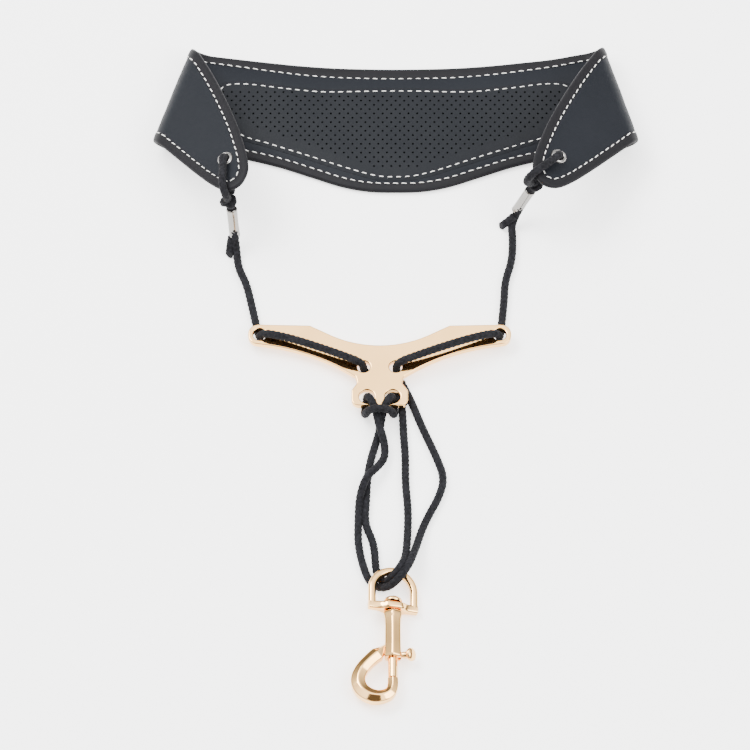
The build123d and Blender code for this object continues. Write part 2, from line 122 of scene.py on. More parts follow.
def make_world():
    """Bright overhead, dark near the horizon, with one dark card for the metal to reflect."""
    world = bpy.data.worlds.new("studio")
    world.use_nodes = True
    tree = world.node_tree
    background = tree.nodes["Background"]
    background.inputs["Strength"].default_value = STUDIO_STRENGTH
    directions = tree.nodes.new("ShaderNodeTexCoord").outputs["Generated"]
    split = tree.nodes.new("ShaderNodeSeparateXYZ")
    tree.links.new(directions, split.inputs["Vector"])
    towards_card = tree.nodes.new("ShaderNodeVectorMath")
    towards_card.operation = "DOT_PRODUCT"
    towards_card.inputs[1].default_value = CARD_DIRECTION
    tree.links.new(directions, towards_card.inputs[0])
    both = tree.nodes.new("ShaderNodeVectorMath")
    both.operation = "MULTIPLY"
    tree.links.new(colour_ramp(tree, split.outputs["Z"], WALLS), both.inputs[0])
    tree.links.new(colour_ramp(tree, towards_card.outputs["Value"], CARD), both.inputs[1])
    tree.links.new(both.outputs["Vector"], background.inputs["Color"])
    bpy.context.scene.world = world


def make_studio():
    """Two soft lamps over a pale floor."""
    area_light("key", (-0.7, 0.5, 1.2), (0.9, 0.7), KEY_POWER)
    area_light("fill", (0.9, -0.4, 1.0), (0.8, 0.8), FILL_POWER)
    bpy.ops.mesh.primitive_grid_add(x_subdivisions=4, y_subdivisions=4, size=FLOOR_SIZE)
    floor_piece = bpy.context.object
    floor_piece.name = "floor"
    floor_piece.location = (0, 0, -FLOOR_DROP)
    paint = bpy.data.materials.new("floor_paper")
    paint.use_nodes = True
    set_inputs(paint.node_tree.nodes["Principled BSDF"], {
        "Base Color": (0.97, 0.97, 0.97, 1), "Emission Color": (1, 1, 1, 1),
        "Emission Strength": FLOOR_GLOW, "Roughness": 0.8})
    floor_piece.data.materials.append(paint)


# ---- materials ----
class Paint:
    """A procedural material: a Principled shader with small helpers for its nodes."""

    def __init__(self, name, roughness=0.5, metallic=0.0):
        self.material = bpy.data.materials.new(name)
        self.material.use_nodes = True
        self.tree = self.material.node_tree
        self.shader = self.tree.nodes["Principled BSDF"]
        set_inputs(self.shader, {"Roughness": roughness, "Metallic": metallic})
        self.coordinates = self.tree.nodes.new("ShaderNodeTexCoord").outputs["Object"]

    def node(self, kind, **values):
        made = self.tree.nodes.new(kind)
        for key, value in values.items():
            if hasattr(made, key):
                setattr(made, key, value)
            else:
                made.inputs[key.replace("_", " ").title()].default_value = value
        return made

    def link(self, start, end):
        self.tree.links.new(start, end)

    def noise(self, scale, detail=3.0):
        made = self.node("ShaderNodeTexNoise", scale=scale, detail=detail)
        self.link(self.coordinates, made.inputs["Vector"])
        return made.outputs["Fac"]

    def colour(self, value, *stops):
        """The base colour follows a value between (place, colour) stops."""
        self.link(colour_ramp(self.tree, value, stops), self.shader.inputs["Base Color"])

    def range(self, value, low, high):
        made = self.node("ShaderNodeMapRange")
        set_inputs(made, {"To Min": low, "To Max": high})
        self.link(value, made.inputs["Value"])
        return made.outputs["Result"]

    def bumps(self, *layers):
        """Bump layers, each (height output, strength, distance in metres)."""
        normal = None
        for height, strength, distance in layers:
            made = self.node("ShaderNodeBump")
            set_inputs(made, {"Strength": strength, "Distance": distance})
            self.link(height, made.inputs["Height"])
            if normal is not None:
                self.link(normal, made.inputs["Normal"])
            normal = made.outputs["Normal"]
        self.link(normal, self.shader.inputs["Normal"])


def leather(name, dark, light, grain=0.45):
    """Coated leather: fine pebbled grain, faint creases and slow changes of tone."""
    paint = Paint(name, roughness=0.5)
    set_inputs(paint.shader, {"Specular IOR Level": 0.1})
    cells = paint.node("ShaderNodeTexVoronoi", feature="DISTANCE_TO_EDGE", scale=1500.0)
    paint.link(paint.coordinates, cells.inputs["Vector"])
    pebbles = paint.range(cells.outputs["Distance"], 0.0, 1.0)
    slow = paint.noise(28.0, 5.0)
    paint.colour(slow, (0.3, dark), (0.7, light))
    paint.link(paint.range(paint.noise(420.0, 4.0), 0.42, 0.62), paint.shader.inputs["Roughness"])
    paint.bumps((slow, 0.15, 0.0008), (paint.noise(2600.0, 2.0), 0.25, 0.00008),
                (pebbles, grain, 0.00012))
    return paint.material


def polished_metal(name, colour, roughness):
    """Plated metal, nearly a mirror, with faint polishing marks."""
    paint = Paint(name, roughness=roughness, metallic=1.0)
    tone = paint.noise(60.0, 3.0)
    darker = tuple(0.93 * channel for channel in colour)
    paint.colour(tone, (0.35, darker), (0.65, colour))
    marks = paint.noise(900.0, 4.0)
    paint.link(paint.range(marks, roughness * 0.7, roughness * 1.6),
               paint.shader.inputs["Roughness"])
    paint.bumps((tone, 0.06, 0.0006), (marks, 0.05, 0.00003))
    return paint.material


def braided_fibre():
    """Black braid: matt, with a fine thread grain and a little sheen."""
    paint = Paint("black_braid", roughness=0.82)
    set_inputs(paint.shader, {"Specular IOR Level": 0.1, "Sheen Weight": 0.03,
                              "Sheen Roughness": 0.5})
    fibres = paint.noise(5200.0, 3.0)
    paint.colour(paint.noise(700.0), (0.3, (0.004, 0.004, 0.005)), (0.75, (0.015, 0.015, 0.018)))
    paint.bumps((fibres, 0.5, 0.00012))
    return paint.material


def stitch_thread():
    paint = Paint("white_thread", roughness=0.7)
    twist = paint.node("ShaderNodeTexWave", scale=900.0, distortion=1.0)
    twist.bands_direction = "DIAGONAL"
    paint.link(paint.coordinates, twist.inputs["Vector"])
    paint.colour(paint.noise(300.0), (0.3, (0.74, 0.73, 0.69)), (0.7, (0.9, 0.89, 0.86)))
    paint.bumps((twist.outputs["Fac"], 0.4, 0.00008))
    return paint.material


def foam():
    paint = Paint("dark_foam", roughness=0.95)
    paint.colour(paint.noise(900.0), (0.3, (0.02, 0.02, 0.02)), (0.7, (0.05, 0.05, 0.05)))
    paint.bumps((paint.noise(1800.0), 0.6, 0.0003))
    return paint.material


PAINTS = {
    "leather": leather("charcoal_leather", (0.0071, 0.0084, 0.0113), (0.0088, 0.0102, 0.0134)),
    "perforated_leather": leather("perforated_leather", (0.0071, 0.0082, 0.0105),
                                  (0.0091, 0.0102, 0.0124)),
    "binding": leather("binding_leather", (0.0074, 0.0074, 0.0088), (0.0094, 0.0092, 0.0108), 0.25),
    "foam": foam(),
    "thread": stitch_thread(),
    "cord": braided_fibre(),
    "nickel": polished_metal("nickel_plate", (0.25, 0.24, 0.225), 0.14),
    "eyelet_nickel": polished_metal("eyelet_nickel", (0.34, 0.33, 0.32), 0.2),
    "gold": polished_metal("pale_gold_plate", (1.0, 0.60, 0.23), 0.07),
    "spring_steel": polished_metal("spring_wire", (0.5, 0.5, 0.5), 0.3)}


# ---- mesh helpers ----
def finish_piece(name, vertices, faces, slot, body=None, replaces=(), smooth_angle=40,
                 paint=None):
    """A mesh object with its material, picked by slot, on the CAD body that it rides on."""
    mesh = bpy.data.meshes.new(name)
    mesh.from_pydata([tuple(vertex) for vertex in vertices], [], faces)
    mesh.validate()
    edit = bmesh.new()
    edit.from_mesh(mesh)
    bmesh.ops.recalc_face_normals(edit, faces=edit.faces)
    edit.to_mesh(mesh)
    edit.free()
    mesh.shade_smooth()
    mesh.set_sharp_from_angle(angle=radians(smooth_angle))
    mesh.materials.append(PAINTS[paint or slot])
    piece = add_object(name, mesh)
    if body:
        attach(piece, body)
    if replaces:
        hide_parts(*replaces)
    return piece


def ring_faces(rings, around, closed=False):
    """Quads between rings of points, with caps at the two ends of an open row."""
    faces = []
    for ring in range(rings if closed else rings - 1):
        following = (ring + 1) % rings
        for step in range(around):
            beside = (step + 1) % around
            faces.append((ring * around + step, ring * around + beside,
                          following * around + beside, following * around + step))
    if not closed:
        faces.append(tuple(range(around))[::-1])
        faces.append(tuple(range((rings - 1) * around, rings * around)))
    return faces


def ring_round(point, side, up, radius, around):
    """Points of a circle round a point."""
    return [point + (side * cos(tau * step / around) + up * sin(tau * step / around)) * radius
            for step in range(around)]


def sides_of(axis):
    """Two directions square to an axis and to each other."""
    side = axis.orthogonal().normalized()
    return side, axis.cross(side)


def frames_along(points):
    """(point, side, up) along a line of points, turning as little as possible."""
    points = [Vector(point) for point in points]
    made = []
    side = None
    for index, point in enumerate(points):
        before, after = points[max(index - 1, 0)], points[min(index + 1, len(points) - 1)]
        forward = (after - before).normalized()
        if side is None:
            side = forward.orthogonal().normalized()
        side = (side - forward * side.dot(forward)).normalized()
        made.append((point, side, forward.cross(side)))
    return made


# ---- cord ----
CORD_D = 3.2 * MM
BRAID_STRANDS = 8
BRAID_PITCH = 2.3 * MM
BRAID_DEPTH = 0.30 * MM
CORD_PLUMP = 0.14 * MM
CORD_STEP = 0.3 * MM
CORD_AROUND = 32
# Where the strands between the plate and the bight start and end, along Y in mm.
STRAND_TOP, DOWN_END, RETURN_END = -24, -86, -90


def evaluated_mesh(piece):
    bpy.context.view_layer.update()
    return bpy.data.meshes.new_from_object(piece.evaluated_get(
        bpy.context.evaluated_depsgraph_get()))


def spline_points(name, route):
    """Points of the smooth line whose control points are the route's."""
    curve = bpy.data.curves.new(name + "_line", "CURVE")
    curve.dimensions = "3D"
    curve.resolution_u = 24
    spline = curve.splines.new("NURBS")
    spline.points.add(len(route) - 1)
    for target, point in zip(spline.points, route):
        target.co = (*point, 1)
    spline.order_u = 3
    spline.use_endpoint_u = True
    holder = add_object(name + "_line", curve)
    mesh = evaluated_mesh(holder)
    points = [vertex.co.copy() for vertex in mesh.vertices]
    bpy.data.objects.remove(holder)
    bpy.data.curves.remove(curve)
    bpy.data.meshes.remove(mesh)
    return points


def line_length(points):
    return sum((after - before).length for before, after in zip(points, points[1:]))


def even_points(points, step):
    """The same line with evenly spaced points."""
    total = line_length(points)
    count = max(ceil(total / step), 2)
    made, index, walked = [points[0]], 0, 0.0
    for number in range(1, count):
        target = total * number / count
        while walked + (points[index + 1] - points[index]).length < target:
            walked += (points[index + 1] - points[index]).length
            index += 1
        run = points[index + 1] - points[index]
        made.append(points[index] + run * ((target - walked) / run.length))
    made.append(points[-1])
    return made


def braid_height(turn, along):
    """Relief of an over-and-under braid, from 0 in the valleys to 1 on the strands."""
    right = along / BRAID_PITCH + turn * BRAID_STRANDS / 2
    left = along / BRAID_PITCH - turn * BRAID_STRANDS / 2
    over = (floor(right) + floor(left)) % 2 == 0
    across, lengthwise = (right, left) if over else (left, right)
    return abs(sin(pi * across)) ** 0.7 * (0.45 + 0.55 * abs(sin(pi * lengthwise)))


def braided_tube(name, line, body=None, replaces=(), diameter=CORD_D, slant=0.0):
    """A braided cord that follows a line of points; slant cuts its last end at an angle."""
    line = even_points([Vector(point) for point in line], CORD_STEP)
    step = line_length(line) / (len(line) - 1)
    vertices = []
    for index, (point, side, up) in enumerate(frames_along(line)):
        end_gap = min(index, len(line) - 1 - index) * step
        for number in range(CORD_AROUND):
            turn = number / CORD_AROUND
            height = braid_height(turn, index * step)
            radius = diameter / 2 + CORD_PLUMP + BRAID_DEPTH * (height - 0.5)
            if end_gap < step / 2:
                radius *= 0.93
            cut = slant * cos(tau * turn) * radius * max(0, 1 - (len(line) - 1 - index) * step
                                                         / diameter)
            vertices.append(point + (side * cos(tau * turn) + up * sin(tau * turn)) * radius
                            + up.cross(side).normalized() * cut)
    faces = ring_faces(len(line), CORD_AROUND)
    return finish_piece(name, vertices, faces, "cord", body, replaces, smooth_angle=65)


# Routes in millimetres. They follow the CAD tubes, apart from small moves: the cords over the
# plate and the turns in the eye differ in height, and the loops and tails in their bends.
UPPER = {
    "left": [(-74.2, 79.6, 23.2), (-71.9, 69.2, 1.7), (-70.9, 58.0, 1.7), (-67.4, 50.5, 1.7),
             (-65.2, 40.5, 1.7), (-62.8, 28.5, 1.7)],
    "right": [(62.1, 88.5, 23.1), (52.0, 83.7, 1.7), (52.9, 73.0, 1.7), (52.4, 61.5, 1.7),
              (49.2, 51.0, 1.7), (48.9, 40.5, 1.7), (47.7, 28.5, 1.7)]}
OVER_PLATE = {
    "left": [(-62.8, 28.5, 1.7), (-61.2, 20.5, 1.7), (-60.6, 20.2, 9.6), (-49.0, 17.0, 10.8),
             (-35.5, 12.0, 11.2), (-23.0, 7.2, 10.9), (-14.7, 4.2, 9.6), (-14.3, 3.8, 1.7),
             (-8.65, -0.7, 1.7)],
    "right": [(47.7, 28.5, 1.7), (46.9, 20.5, 1.7), (46.2, 20.2, 9.6), (35.0, 16.6, 11.4),
              (22.0, 11.8, 12.0), (8.8, 7.0, 11.3), (0.6, 4.4, 9.6), (0.1, 3.8, 1.7),
              (3.45, -3.35, 1.7)]}
DOWN = {
    "left": [(-8.65, -0.7, 1.7), (-3.0, -5.2, 1.7), (2.3, -9.7, 1.7), (3.2, -18.8, 1.7),
             (3.5, -28.5, 1.7), (4.4, -40.0, 1.7), (4.3, -53.5, 1.7), (5.6, -67.0, 1.7),
             (5.4, -79.0, 1.7), (5.0, -86.0, 3.6)],
    "right": [(3.45, -3.35, 1.7), (6.8, -10.5, 1.7), (11.7, -24.5, 1.7), (18.3, -40.0, 1.7),
              (21.9, -51.0, 1.7), (19.6, -60.5, 1.7), (14.6, -70.6, 1.7), (11.4, -78.6, 1.9),
              (9.6, -86.4, 4.1)]}
IN_EYE = {
    "left": [(5.0, -86.0, 3.6), (4.6, -93.0, 5.5), (3.1, -99.4, 9.8), (0.2, -103.8, 9.4),
             (-3.4, -105.7, 4.6), (-6.9, -104.2, 1.9), (-9.0, -99.0, 1.7), (-9.3, -92.0, 1.7)],
    "right": [(9.6, -86.4, 4.1), (7.8, -93.8, 7.4), (5.6, -101.2, 10.4), (1.0, -107.4, 8.8),
              (-4.0, -109.3, 4.4), (-9.4, -107.2, 1.9), (-13.4, -101.6, 1.7),
              (-15.2, -93.8, 1.7)]}
BACK = {
    "left": [(-9.3, -92.0, 1.7), (-9.6, -85.0, 1.7), (-14.0, -74.5, 1.7), (-13.2, -62.5, 1.7),
             (-12.7, -50.0, 1.7), (-10.9, -40.0, 1.7), (-8.9, -33.0, 1.7), (-7.2, -26.5, 2.2),
             (-6.2, -21.85, 5.6)],
    "right": [(-15.2, -93.8, 1.7), (-17.0, -86.0, 1.7), (-16.8, -73.0, 1.7), (-16.4, -62.0, 3.2),
              (-13.4, -52.8, 6.4), (-8.0, -47.0, 5.0), (-4.6, -40.5, 2.6), (-5.2, -33.0, 4.6),
              (-7.4, -26.6, 6.0), (-8.45, -21.9, 7.8)]}
HITCH = [(-8.45, -21.9, 7.8), (-9.5, -17.2, 9.6), (-12.7, -12.2, 9.6), (-13.2, -11.4, 1.7),
         (-14.3, -19.4, 1.9), (-11.9, -20.6, 11.9), (-2.7, -20.6, 11.9), (-0.3, -19.4, 1.9),
         (-1.3, -11.4, 1.7), (-1.8, -12.2, 9.6), (-5.2, -17.2, 9.0), (-6.2, -21.85, 5.6)]
TAILS = {"left": [(-73.9, 71.6, 7.0), (-74.7, 68.6, 3.6), (-75.0, 64.9, 2.0)],
         "right": [(53.4, 82.4, 7.0), (50.8, 81.3, 3.7), (47.6, 79.9, 2.0)]}
LOOPS = {
    "left": [(18.6, 6.6, 0.5), (15.6, 5.8, 6.0), (5.5, 2.4, 5.6), (-0.4, 0, 6.4),
             (0, 0, -6.6), (9.0, 3.0, -6.4)],
    "right": [(8.2, 16.8, -5.5), (9.0, 17.2, 3.6), (4.2, 6.4, 6.2), (-0.2, -0.2, 6.6),
              (0, 0, -6.8)]}
KNOTS = {"left": (-75.2, 80.0, 24.6), "right": (62.7, 89.4, 24.6)}
KNOT_R, KNOT_SPREAD, KNOT_DEPTH, KNOT_CORD_D = 4.3, 0.85, 1.5, 2.9 * MM
# The sleeve's outside and inside: place along its axis, over a length of SLEEVE_DRAWN, and radius.
SLEEVE_DRAWN = 14.95
SLEEVE = [(0.0, 1.80), (0.0, 2.30), (0.25, 2.50), (0.7, 2.52), (1.2, 2.42), (3.0, 2.40),
          (7.5, 2.38), (12.0, 2.40), (13.6, 2.42), (14.1, 2.52), (14.6, 2.50), (14.95, 2.30),
          (14.95, 1.80), (7.5, 1.80)]
CRIMP, OVAL = 0.03, 1.03
FERRULES = {"left": ((-73.9, 78.3, 20.5), (-72.5, 71.9, 7.0)),
            "right": ((60.8, 87.9, 20.4), (54.5, 84.9, 7.0))}


def metres(route):
    return [Vector(point) * MM for point in route]


def free_cord(name, route, node, body, blend=None):
    """One stretch of the strap's cord."""
    line = spline_points(name, metres(route))
    piece = braided_tube(name, line, None if blend else body, [node])
    if blend:
        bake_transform(piece)
    even_points(line, 1 * MM)
    return piece


def make_knot(side):
    """An overhand knot drawn tight: a trefoil of cord round the ferrule's axis."""
    centre = Vector(KNOTS[side]) * MM
    top, bottom = (Vector(end) for end in FERRULES[side])
    axis = (top - bottom).normalized()
    across, third = sides_of(axis)
    line = []
    for number in range(97):
        t = tau * number / 96
        wide, deep = sin(t) + 2 * sin(2 * t), cos(t) - 2 * cos(2 * t)
        line.append(centre + (across * wide * KNOT_SPREAD + third * deep * KNOT_SPREAD
                              - axis * sin(3 * t) * KNOT_DEPTH) * MM)
    return braided_tube(f"{side}_knot_cord", line, "collar", [f"{side}_knot"],
                        diameter=KNOT_CORD_D)


def make_ferrule(side):
    """A crimped metal sleeve: slightly oval, with a rolled lip at each end."""
    top, bottom = metres(FERRULES[side])
    axis = (bottom - top).normalized()
    across, third = sides_of(axis)
    length = (bottom - top).length / MM
    around = 48
    vertices = []
    for along, radius in SLEEVE:
        for number in range(around):
            turn = tau * number / around
            crimp = 1 - CRIMP * (0.5 - 0.5 * cos(tau * along / 15)) * (1 + cos(3 * turn))
            vertices.append(top + axis * (along * MM * length / SLEEVE_DRAWN)
                            + (across * cos(turn) * OVAL + third * sin(turn)) * radius * crimp * MM)
    faces = ring_faces(len(SLEEVE), around, closed=True)
    return finish_piece(f"{side}_crimp_sleeve", vertices, faces, "nickel", "collar",
                        [f"{side}_ferrule"])


def make_cords():
    for side in SIDES:
        knot = make_knot(side)
        sleeve = make_ferrule(side)
        tail_line = spline_points("tail", metres(TAILS[side]))
        tail = braided_tube(f"{side}_tail_end", tail_line, "collar", [f"{side}_cord_tail"],
                            slant=0.8)
        upper_end = Vector(UPPER[side][-1]) * MM
        upper_start = Vector(FERRULES[side][1]) * MM
        upper_start.z = upper_end.z
        free_cord(f"{side}_upper_lead", UPPER[side], f"{side}_upper_cord", None,
                  blend=("collar", "plate", upper_start, upper_end))
        free_cord(f"{side}_plate_lead", OVER_PLATE[side], f"{side}_plate_cord", "plate")
        down_start, down_end = (Vector((0, y, 0)) * MM for y in (STRAND_TOP, DOWN_END))
        free_cord(f"{side}_down_lead", DOWN[side], f"{side}_down_strand", None,
                  blend=("plate", "bight", down_start, down_end))
        free_cord(f"{side}_eye_turn", IN_EYE[side], f"{side}_eye_bight", "bight")
        back_end, back_start = (Vector((0, y, 0)) * MM for y in (STRAND_TOP, RETURN_END))
        free_cord(f"{side}_return_lead", BACK[side], f"{side}_return_strand", None,
                  blend=("plate", "bight", back_end, back_start))
        loop = loop_route(side)
        free_cord(f"{side}_eyelet_lead", loop, f"{side}_eyelet_loop", "collar")
    free_cord("hitch_lead", HITCH, "plate_hitch", "plate")


# ---- collar pad, in millimetres ----
PAD_MID_Z, PAD_HALF = 2.8, 2.8
FOLDS = {"left": ((-92.7, 168.5), (-109.4, 121.3), 0.97),
         "right": ((-94.5, 169.3), (-109.15, 123.0), 1.055)}
FOLD_RADIUS, TAB_RISE = 6.5, 24.0
REACH = FOLD_RADIUS + PAD_HALF
WRAP = pi - radians(TAB_RISE)
BEND_LENGTH = FOLD_RADIUS * WRAP
BEND_STEPS = 6
BAND_TOP = [(0, 162.2), (-14, 162.4), (-28, 162.9), (-43, 164.1), (-57, 165.7), (-71, 167.5)]
BAND_LOW = [(0, 97.8), (-12, 98.2), (-24, 100.6), (-38, 105.6), (-54, 111.3), (-74, 116.3)]
TAB_EDGES = [(12, 16.2, 63.2), (24, 28.8, 70.0), (35, 41.5, 75.6), (42.5, 51.5, 78.0),
             (47.3, 58.5, 77.2), (50.0, 63.5, 74.8), (51.2, 67.0, 71.4)]
BEND_TOP_EDGE = (-3.9, 0.17, 5.0)
BEND_LOW_EDGE = (48.4, 0.19, 56.3)
PANEL_HALF = [(0, 151.2), (-33, 150.7), (-50, 152.4), (-68, 154.8), (-78, 153.6),
              (-81.5, 148.5), (-78.5, 137.5), (-72.5, 126.2), (-57, 120.0), (-40, 114.0),
              (-22, 107.4), (-9, 103.6), (0, 103.0)]
EYELET_U, EYELET_V = 37.5, 62.0
EYELET_HOLE_R = 2.45
UPPER_EDGE_Y, WIDER_BY, WIDER_HALF = 158.0, 0.36, 62.0
# A point moved inward stays if it is nearly that far from the whole ring.
KEPT_SHARE, KEPT_SLACK = 0.985, 0.02
# Triangle rows lie this share of the pitch apart.
ROW_SHARE = 0.87
STITCH_INSET = 4.1
STITCH_LONG, STITCH_GAP, STITCH_R = 2.7, 1.2, 0.205
PANEL_STITCH_INSET = 1.8
PANEL_BED = 0.6
PERFORATION_R = 0.5
ROW_PITCH, COLUMN_PITCH = 2.27, 3.9
TABLE_CLEARANCE = 0.02
# Heights of the layers over the pad's middle surface, and how far in from the edge they start.
LINING_BASE, LINING_EDGE, LINING_PUFF = -0.95, -0.35, 2.0
COVER_TOP, COVER_FACE, COVER_PUFF = -1.9, -2.45, 0.3
FOAM_BASE, FOAM_TOP, FOAM_INSET = -1.85, -1.0, 2.0
FIELD_INSET, PUFF_REACH = 4.2, 6.0
STITCH_FACES = (-0.05, -2.75)
TOP_ROW_Y, HOLE_ROWS, HOLE_COLUMNS = 148.6, 27, 22
# How far holes stay from the panel's edge: above, below, and more below towards the ends.
UPPER_MARGIN, LOWER_MARGIN, MARGIN_GROWTH = 3.0, 5.6, 0.035


class PadHalf:
    """One half of the pad, drawn flat on the left, its end wrapped up round a fold line."""

    def __init__(self, top, bottom, stretch):
        run = hypot(bottom[0] - top[0], bottom[1] - top[1])
        self.along = ((bottom[0] - top[0]) / run, (bottom[1] - top[1]) / run)
        self.inward = (-self.along[1], self.along[0])
        self.start = (top[0] + REACH * self.inward[0], top[1] + REACH * self.inward[1])
        self.stretch = stretch

    def flat_point(self, beyond, along):
        return (self.start[0] - self.inward[0] * beyond + self.along[0] * along,
                self.start[1] - self.inward[1] * beyond + self.along[1] * along)

    def place(self, point, height):
        """Where a flat point lies once the end is folded, at a height over the pad's middle."""
        dx, dy = point[0] - self.start[0], point[1] - self.start[1]
        beyond = -(dx * self.inward[0] + dy * self.inward[1])
        along = dx * self.along[0] + dy * self.along[1]
        if beyond <= 0:
            return Vector((point[0], point[1], PAD_MID_Z + height))
        angle = min(beyond / FOLD_RADIUS, WRAP)
        past = max(beyond - BEND_LENGTH, 0)
        radius = FOLD_RADIUS - height
        inward = -radius * sin(angle) - past * cos(angle)
        up = PAD_MID_Z + FOLD_RADIUS - radius * cos(angle) + past * sin(angle)
        return Vector((self.start[0] + self.along[0] * along + self.inward[0] * inward,
                       self.start[1] + self.along[1] * along + self.inward[1] * inward, up))

    def edge_points(self):
        """Upper and lower edge, from the middle out to the tab's tip."""
        top, low = list(BAND_TOP), list(BAND_LOW)
        for step in range(BEND_STEPS + 1):
            beyond = BEND_LENGTH * step / BEND_STEPS
            for points, (start, slope, end) in ((top, BEND_TOP_EDGE), (low, BEND_LOW_EDGE)):
                curve = (end - start - slope * BEND_LENGTH) / BEND_LENGTH ** 2
                points.append(self.flat_point(beyond, start + slope * beyond
                                              + curve * beyond ** 2))
        for past, upper, lower in TAB_EDGES:
            top.append(self.flat_point(BEND_LENGTH + past * self.stretch, upper))
            low.append(self.flat_point(BEND_LENGTH + past * self.stretch, lower))
        return top, low


HALVES = {side: PadHalf(*fold) for side, fold in FOLDS.items()}


def mirrored(point):
    return (-point[0], point[1])


def pad_place(point, height):
    """Where a flat point of the whole pad lies once both tabs are folded, in millimetres."""
    if point[0] < 0:
        placed = HALVES["left"].place(point, height)
    else:
        placed = HALVES["right"].place(mirrored(point), height)
        placed.x = -placed.x
    placed.z = max(placed.z, TABLE_CLEARANCE)
    return placed


def smooth_ring(corners, step):
    """A closed smooth curve through the corners, evenly spaced."""
    corners = [Vector((*corner[:2], 0)) for corner in corners]
    count = len(corners)
    line = []
    for index in range(count):
        before, start, end, after = (corners[(index + shift) % count] for shift in (-1, 0, 1, 2))
        run = (end - start).length
        leave = (end - before) / max((end - before).length, 1e-6) * run
        arrive = (after - start) / max((after - start).length, 1e-6) * run
        for part in range(12):
            t = part / 12
            line.append(start * (2 * t ** 3 - 3 * t ** 2 + 1) + leave * (t ** 3 - 2 * t ** 2 + t)
                        + end * (3 * t ** 2 - 2 * t ** 3) + arrive * (t ** 3 - t ** 2))
    line.append(line[0])
    return [(point.x, point.y) for point in even_points(line, step)[:-1]]


def pad_outline(step):
    left_top, left_low = HALVES["left"].edge_points()
    right_top, right_low = HALVES["right"].edge_points()
    corners = left_top + left_low[::-1] + [mirrored(point) for point in right_low[1:]]
    corners += [mirrored(point) for point in right_top[:0:-1]]
    return smooth_ring(corners, step)


def ring_normals(ring):
    """Inward directions of a closed ring that runs from its top to the left."""
    points = np.array(ring)
    tangents = np.roll(points, -2, 0) - np.roll(points, 2, 0)
    tangents /= np.linalg.norm(tangents, axis=1)[:, None]
    return np.stack([-tangents[:, 1], tangents[:, 0]], 1)


def edge_width(points):
    """Share of the usual edge width: more along the middle of the band's upper edge."""
    upper = points[:, 1] > UPPER_EDGE_Y
    return 1 + upper * WIDER_BY * np.exp(-(points[:, 0] / WIDER_HALF) ** 4)


def inset_ring(ring, inset):
    """The ring moved inward, without the points that cross over at tight corners."""
    points = np.array(ring)
    insets = inset * edge_width(points)
    moved = points + ring_normals(ring) * insets[:, None]
    kept = distance_to(moved, points) > insets * KEPT_SHARE - KEPT_SLACK
    return [tuple(point) for point in moved[kept]]


def distance_to(points, ring):
    """Distance from each point to the nearest sample of a ring."""
    points, ring = np.asarray(points, float), np.asarray(ring, float)
    nearest = np.empty(len(points))
    for first in range(0, len(points), 2000):
        part = points[first:first + 2000]
        gaps = part[:, None, :] - ring[None, :, :]
        nearest[first:first + 2000] = np.sqrt((gaps ** 2).sum(2).min(1))
    return nearest


def inside_ring(points, ring):
    """Which points lie inside a closed ring."""
    points, ring = np.asarray(points, float), np.asarray(ring, float)
    inside = np.zeros(len(points), bool)
    for (x0, y0), (x1, y1) in zip(ring, np.roll(ring, -1, 0)):
        if y0 != y1:
            crosses = (points[:, 1] > y0) != (points[:, 1] > y1)
            inside ^= crosses & (points[:, 0] < (x1 - x0) * (points[:, 1] - y0) / (y1 - y0) + x0)
    return inside


def circle(centre, radius, count):
    return [(centre[0] + radius * cos(tau * step / count),
             centre[1] + radius * sin(tau * step / count)) for step in range(count)]


def filled(rings, pitch):
    """Triangles that fill the first ring and leave the others open."""
    corners, edges = [], []
    for ring in rings:
        first = len(corners)
        corners += ring
        edges += [(first + index, first + (index + 1) % len(ring)) for index in range(len(ring))]
    outer = np.array(rings[0])
    (x_low, y_low), (x_high, y_high) = outer.min(0), outer.max(0)
    lattice = []
    for row in range(ceil((y_high - y_low) / (pitch * ROW_SHARE))):
        for column in range(ceil((x_high - x_low) / pitch) + 1):
            lattice.append((x_low + (column + 0.5 * (row % 2)) * pitch,
                            y_low + row * pitch * ROW_SHARE))
    lattice = np.array(lattice)
    lattice = lattice[inside_ring(lattice, outer)]
    lattice = lattice[distance_to(lattice, np.array(corners)) > 0.45 * pitch]
    points = [Vector(point) for point in corners + [tuple(point) for point in lattice]]
    made = delaunay_2d_cdt(points, edges, [], 1, 1e-4)
    rims = [number for number, ring in enumerate(rings) for _ in ring]

    def in_hole(face):
        """All the corners of a face that lies in an opening are on that opening's rim."""
        inputs = [made[3][corner][0] for corner in face]
        if max(inputs) >= len(rims):
            return False
        owners = {rims[corner] for corner in inputs}
        return len(owners) == 1 and owners != {0}

    faces = [face for face in made[2] if not in_hole(face)]
    used = sorted({corner for face in faces for corner in face})
    place = {corner: index for index, corner in enumerate(used)}
    return ([tuple(made[0][corner]) for corner in used],
            [tuple(place[corner] for corner in face) for face in faces])


def slab(name, rings, pitch, low, high, slot, node):
    """A closed layer of the pad between two height functions of flat points."""
    points, faces = filled(rings, pitch)
    heights = [function(np.array(points)) for function in (low, high)]
    count = len(points)
    vertices = [pad_place(point, height[index]) * MM
                for height in heights for index, point in enumerate(points)]
    sides = {}
    for face in faces:
        for start, end in zip(face, face[1:] + face[:1]):
            sides[(start, end)] = True
    walls = [(start, end, end + count, start + count) for start, end in sides
             if (end, start) not in sides]
    upper = [tuple(corner + count for corner in face) for face in faces]
    lower = [face[::-1] for face in faces]
    return finish_piece(name, vertices, upper + lower + walls, slot, "collar", [node],
                        smooth_angle=35)


